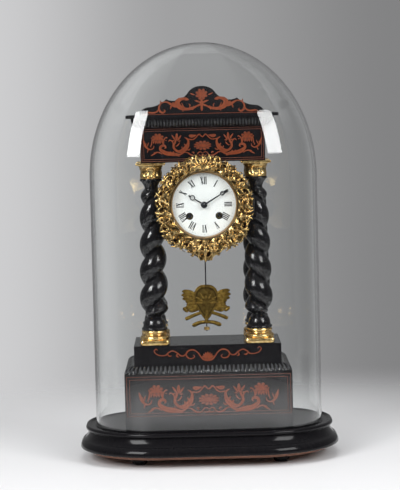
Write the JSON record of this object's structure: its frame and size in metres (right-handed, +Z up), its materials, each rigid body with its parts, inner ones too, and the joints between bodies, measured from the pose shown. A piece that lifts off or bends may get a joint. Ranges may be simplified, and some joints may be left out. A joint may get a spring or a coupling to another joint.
{
  "type": "portico clock",
  "caption": "Portico mantel clock with barley-twist columns, round gilt bezel and pendulum, under an oval glass dome on a moulded plinth.",
  "frame": {"origin": "centre of the rectangle that the bun feet stand in, on the surface they stand on", "axes": "+Z up, -Y towards the viewer of the dial, +X to the right as seen from the front"},
  "size_m": [0.374, 0.255, 0.5979],
  "materials": {
    "ebonised_wood": "french polished black",
    "underside_wood": "stained, satin",
    "dome_glass": "blown clear glass",
    "dial_glass": "polished clear glass",
    "gilt_brass": "burnished and matt gilding",
    "ring_brass": "reeded, toned",
    "movement_brass": "brushed",
    "steel": "polished",
    "bell_metal": "cast and turned",
    "dial_enamel": "fired white enamel",
    "black_hands": "blued black"
  },
  "bodies": {
    "root": {"plinth": "ebonised_wood", "plinth_underboard": "underside_wood", "bun_feet": "ebonised_wood", "base_box": "ebonised_wood", "base_moulding": "ebonised_wood", "base_block": "ebonised_wood", "column_front_left": "ebonised_wood", "column_front_right": "ebonised_wood", "column_rear_left": "ebonised_wood", "column_rear_right": "ebonised_wood", "column_base_front_left": "gilt_brass", "column_base_front_right": "gilt_brass", "column_base_rear_left": "gilt_brass", "column_base_rear_right": "gilt_brass", "capital_front_left": "gilt_brass", "capital_front_right": "gilt_brass", "capital_rear_left": "gilt_brass", "capital_rear_right": "gilt_brass", "column_tie_rods": "steel", "entablature_box": "ebonised_wood", "cornice_moulding": "ebonised_wood", "cornice_slab": "ebonised_wood", "crest_board": "ebonised_wood", "drum_case": "movement_brass", "drum_saddle": "ebonised_wood", "rear_cover": "movement_brass", "bezel_hinge": "movement_brass", "dial": "dial_enamel", "dial_plate": "movement_brass", "dial_feet": "movement_brass", "front_plate": "movement_brass", "back_plate": "movement_brass", "plate_pillars": "movement_brass", "bell": "bell_metal", "bell_stand": "movement_brass", "suspension_cock": "movement_brass"},
    "dome": {"glass_dome": "dome_glass"},
    "bezel_door": {"bezel": "gilt_brass", "bezel_glass": "dial_glass", "sight_ring": "ring_brass", "bezel_hinge_pin": "steel"},
    "minute": {"minute_hand": "black_hands", "hand_collet": "movement_brass", "centre_wheel": "movement_brass"},
    "hour": {"hour_hand": "black_hands", "hour_wheel": "movement_brass"},
    "intermediate": {"intermediate_wheel": "movement_brass"},
    "going_drum": {"going_barrel": "movement_brass"},
    "going_arbor": {"going_winding_arbor": "steel"},
    "strike_drum": {"strike_barrel": "movement_brass"},
    "strike_arbor": {"strike_winding_arbor": "steel"},
    "pin_wheel": {"strike_pin_wheel": "movement_brass"},
    "third": {"third_wheel": "movement_brass"},
    "escape": {"escape_wheel": "movement_brass"},
    "pendulum": {"pendulum_rod": "steel", "pendulum_bob": "gilt_brass", "rating_nut": "movement_brass"},
    "anchor": {"anchor_and_crutch": "steel"},
    "hammer": {"strike_hammer": "steel"}
  },
  "joints": [
    {"name": "dome_lift", "type": "slide", "parent": "root", "child": "dome", "axis": [0, 0, 1], "range_m": [0, 0.6]},
    {"name": "bezel_swing", "type": "hinge", "parent": "root", "child": "bezel_door", "pos_m": [0.0695, -0.0566, 0.367], "axis": [0, 0, 1], "range_deg": [0, 10]},
    {"name": "minute_spin", "type": "hinge", "parent": "root", "child": "minute", "pos_m": [0, 0, 0.367], "axis": [0, 1, 0], "continuous": true},
    {"name": "hour_spin", "type": "hinge", "parent": "root", "child": "hour", "pos_m": [0, 0, 0.367], "axis": [0, 1, 0], "continuous": true},
    {"name": "intermediate_spin", "type": "hinge", "parent": "root", "child": "intermediate", "pos_m": [0.01461, 0, 0.36919], "axis": [0, 1, 0], "continuous": true},
    {"name": "going_barrel_spin", "type": "hinge", "parent": "root", "child": "going_drum", "pos_m": [0.021, 0, 0.351], "axis": [0, 1, 0], "continuous": true},
    {"name": "going_arbor_wind", "type": "hinge", "parent": "root", "child": "going_arbor", "pos_m": [0.021, 0, 0.351], "axis": [0, 1, 0], "continuous": true},
    {"name": "strike_barrel_spin", "type": "hinge", "parent": "root", "child": "strike_drum", "pos_m": [-0.021, 0, 0.351], "axis": [0, 1, 0], "continuous": true},
    {"name": "strike_arbor_wind", "type": "hinge", "parent": "root", "child": "strike_arbor", "pos_m": [-0.021, 0, 0.351], "axis": [0, 1, 0], "continuous": true},
    {"name": "pin_wheel_spin", "type": "hinge", "parent": "root", "child": "pin_wheel", "pos_m": [-0.02435, 0, 0.36998], "axis": [0, 1, 0], "continuous": true},
    {"name": "third_spin", "type": "hinge", "parent": "root", "child": "third", "pos_m": [-0.00324, 0, 0.38096], "axis": [0, 1, 0], "continuous": true},
    {"name": "escape_spin", "type": "hinge", "parent": "root", "child": "escape", "pos_m": [0, 0, 0.3938], "axis": [0, 1, 0], "continuous": true},
    {"name": "pendulum_swing", "type": "hinge", "parent": "root", "child": "pendulum", "pos_m": [0, 0.01, 0.4055], "axis": [0, 1, 0], "range_deg": [-4.5, 4.5]},
    {"name": "anchor_rock", "type": "hinge", "parent": "root", "child": "anchor", "pos_m": [0, 0, 0.4055], "axis": [0, 1, 0], "range_deg": [-4.5, 4.5]},
    {"name": "hammer_swing", "type": "hinge", "parent": "root", "child": "hammer", "pos_m": [-0.034, 0, 0.385], "axis": [0, 1, 0], "range_deg": [0, 18]}
  ],
  "couplings": [
    {"joint": "hour_spin", "follows": "minute_spin", "ratio": 0.083333},
    {"joint": "intermediate_spin", "follows": "minute_spin", "ratio": -0.125},
    {"joint": "going_barrel_spin", "follows": "minute_spin", "ratio": 0.015625},
    {"joint": "third_spin", "follows": "minute_spin", "ratio": -11},
    {"joint": "pin_wheel_spin", "follows": "strike_barrel_spin", "ratio": -8},
    {"joint": "anchor_rock", "follows": "pendulum_swing", "ratio": 1}
  ]
}
